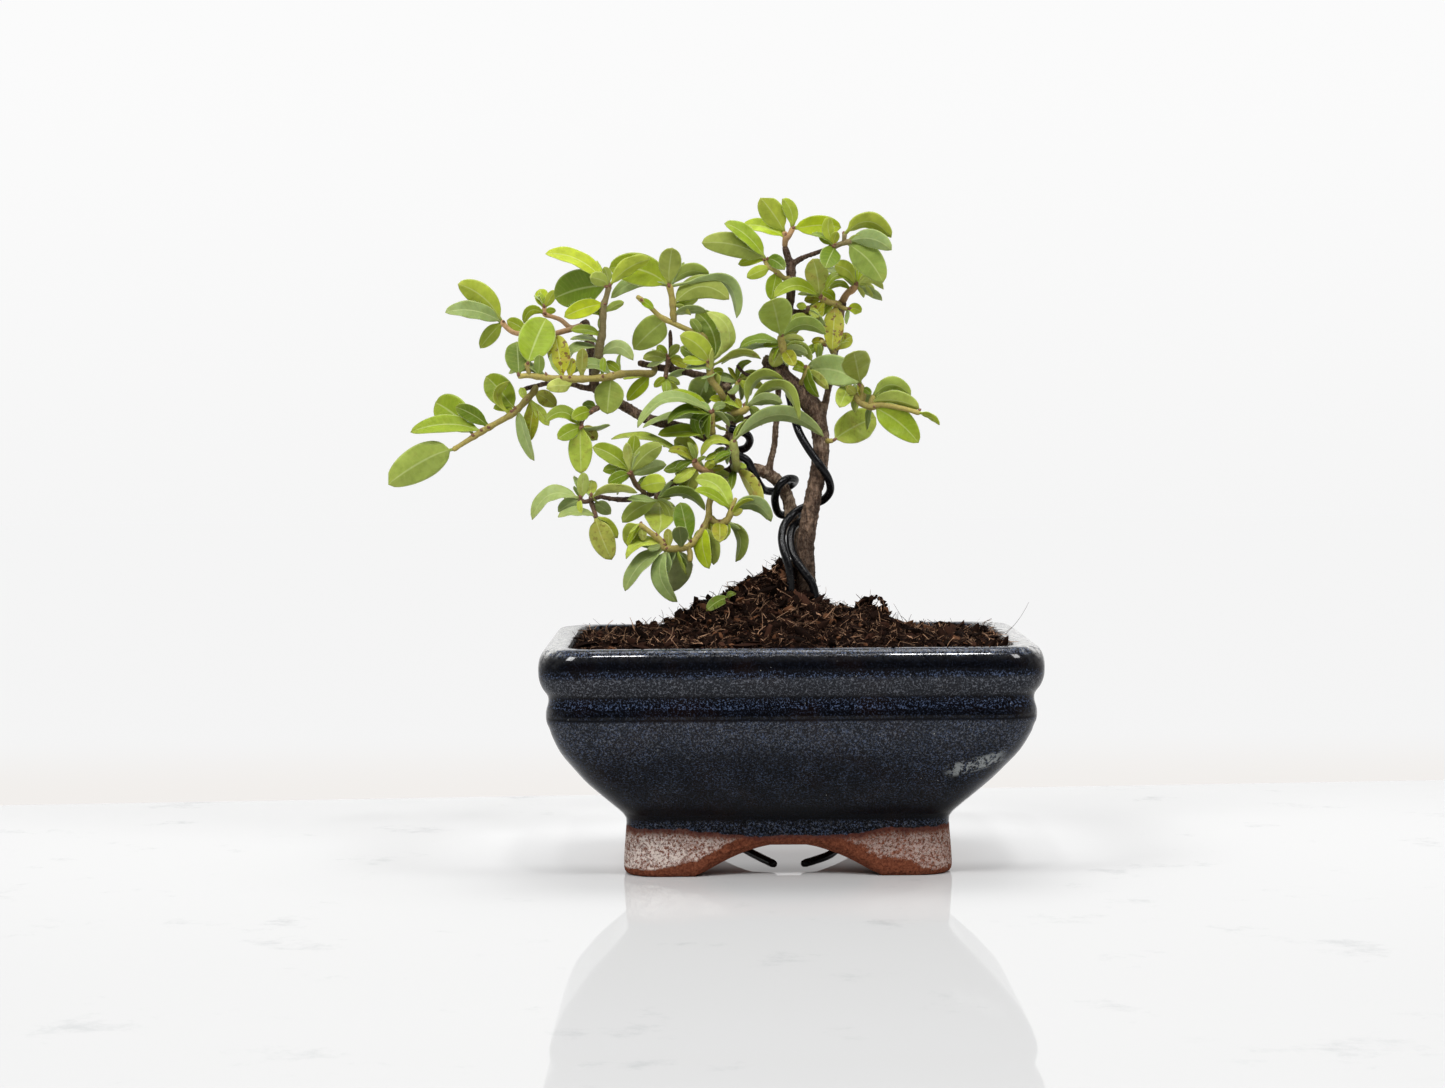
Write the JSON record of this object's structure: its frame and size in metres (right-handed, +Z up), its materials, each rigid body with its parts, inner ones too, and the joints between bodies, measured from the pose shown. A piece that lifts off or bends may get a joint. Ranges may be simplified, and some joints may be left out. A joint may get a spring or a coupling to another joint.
{
  "type": "cotoneaster bonsai",
  "caption": "Small wired cotoneaster bonsai leaning to one side, in soil in a dark glazed rectangular pot on four clay feet.",
  "frame": {"origin": "on the ground under the middle of the whole object's outline; the pot's middle is 25 mm along +X from it", "axes": "+Z up; -Y is the long side that faces the viewer, -X the side that the crown reaches over"},
  "size_m": [0.1991, 0.116, 0.2058],
  "materials": {
    "glaze": "gloss",
    "bare_clay": "matte",
    "soil": "rough",
    "bark": "rough",
    "leaf": "satin",
    "wire_coating": "satin",
    "screen_plastic": "matte"
  },
  "bodies": {
    "root": {"anchor_wire": "wire_coating", "drain_screen_left": "screen_plastic", "drain_screen_right": "screen_plastic", "fallen_leaf": "leaf", "pot": "glaze", "soil": "soil", "spray_apex": "leaf", "spray_arched": "leaf", "spray_far_left": "leaf", "spray_front_shoot": "leaf", "spray_hanging": "leaf", "spray_knot": "leaf", "spray_leader_low": "leaf", "spray_left_center": "leaf", "spray_left_front": "leaf", "spray_left_node": "leaf", "spray_left_tall": "leaf", "spray_left_under": "leaf", "spray_limb": "leaf", "spray_low_left": "leaf", "spray_low_middle": "leaf", "spray_lower_center": "leaf", "spray_middle": "leaf", "spray_right_inner": "leaf", "spray_right_low": "leaf", "spray_right_middle": "leaf", "spray_right_node": "leaf", "spray_small_middle": "leaf", "spray_twig_end": "leaf", "spray_upper_branch": "leaf", "spray_upper_left": "leaf", "spray_upper_right": "leaf", "spray_upper_side": "leaf", "training_wire_left_trunk": "wire_coating", "training_wire_right_trunk": "wire_coating", "trunk_and_branches": "bark"}
  },
  "joints": []
}
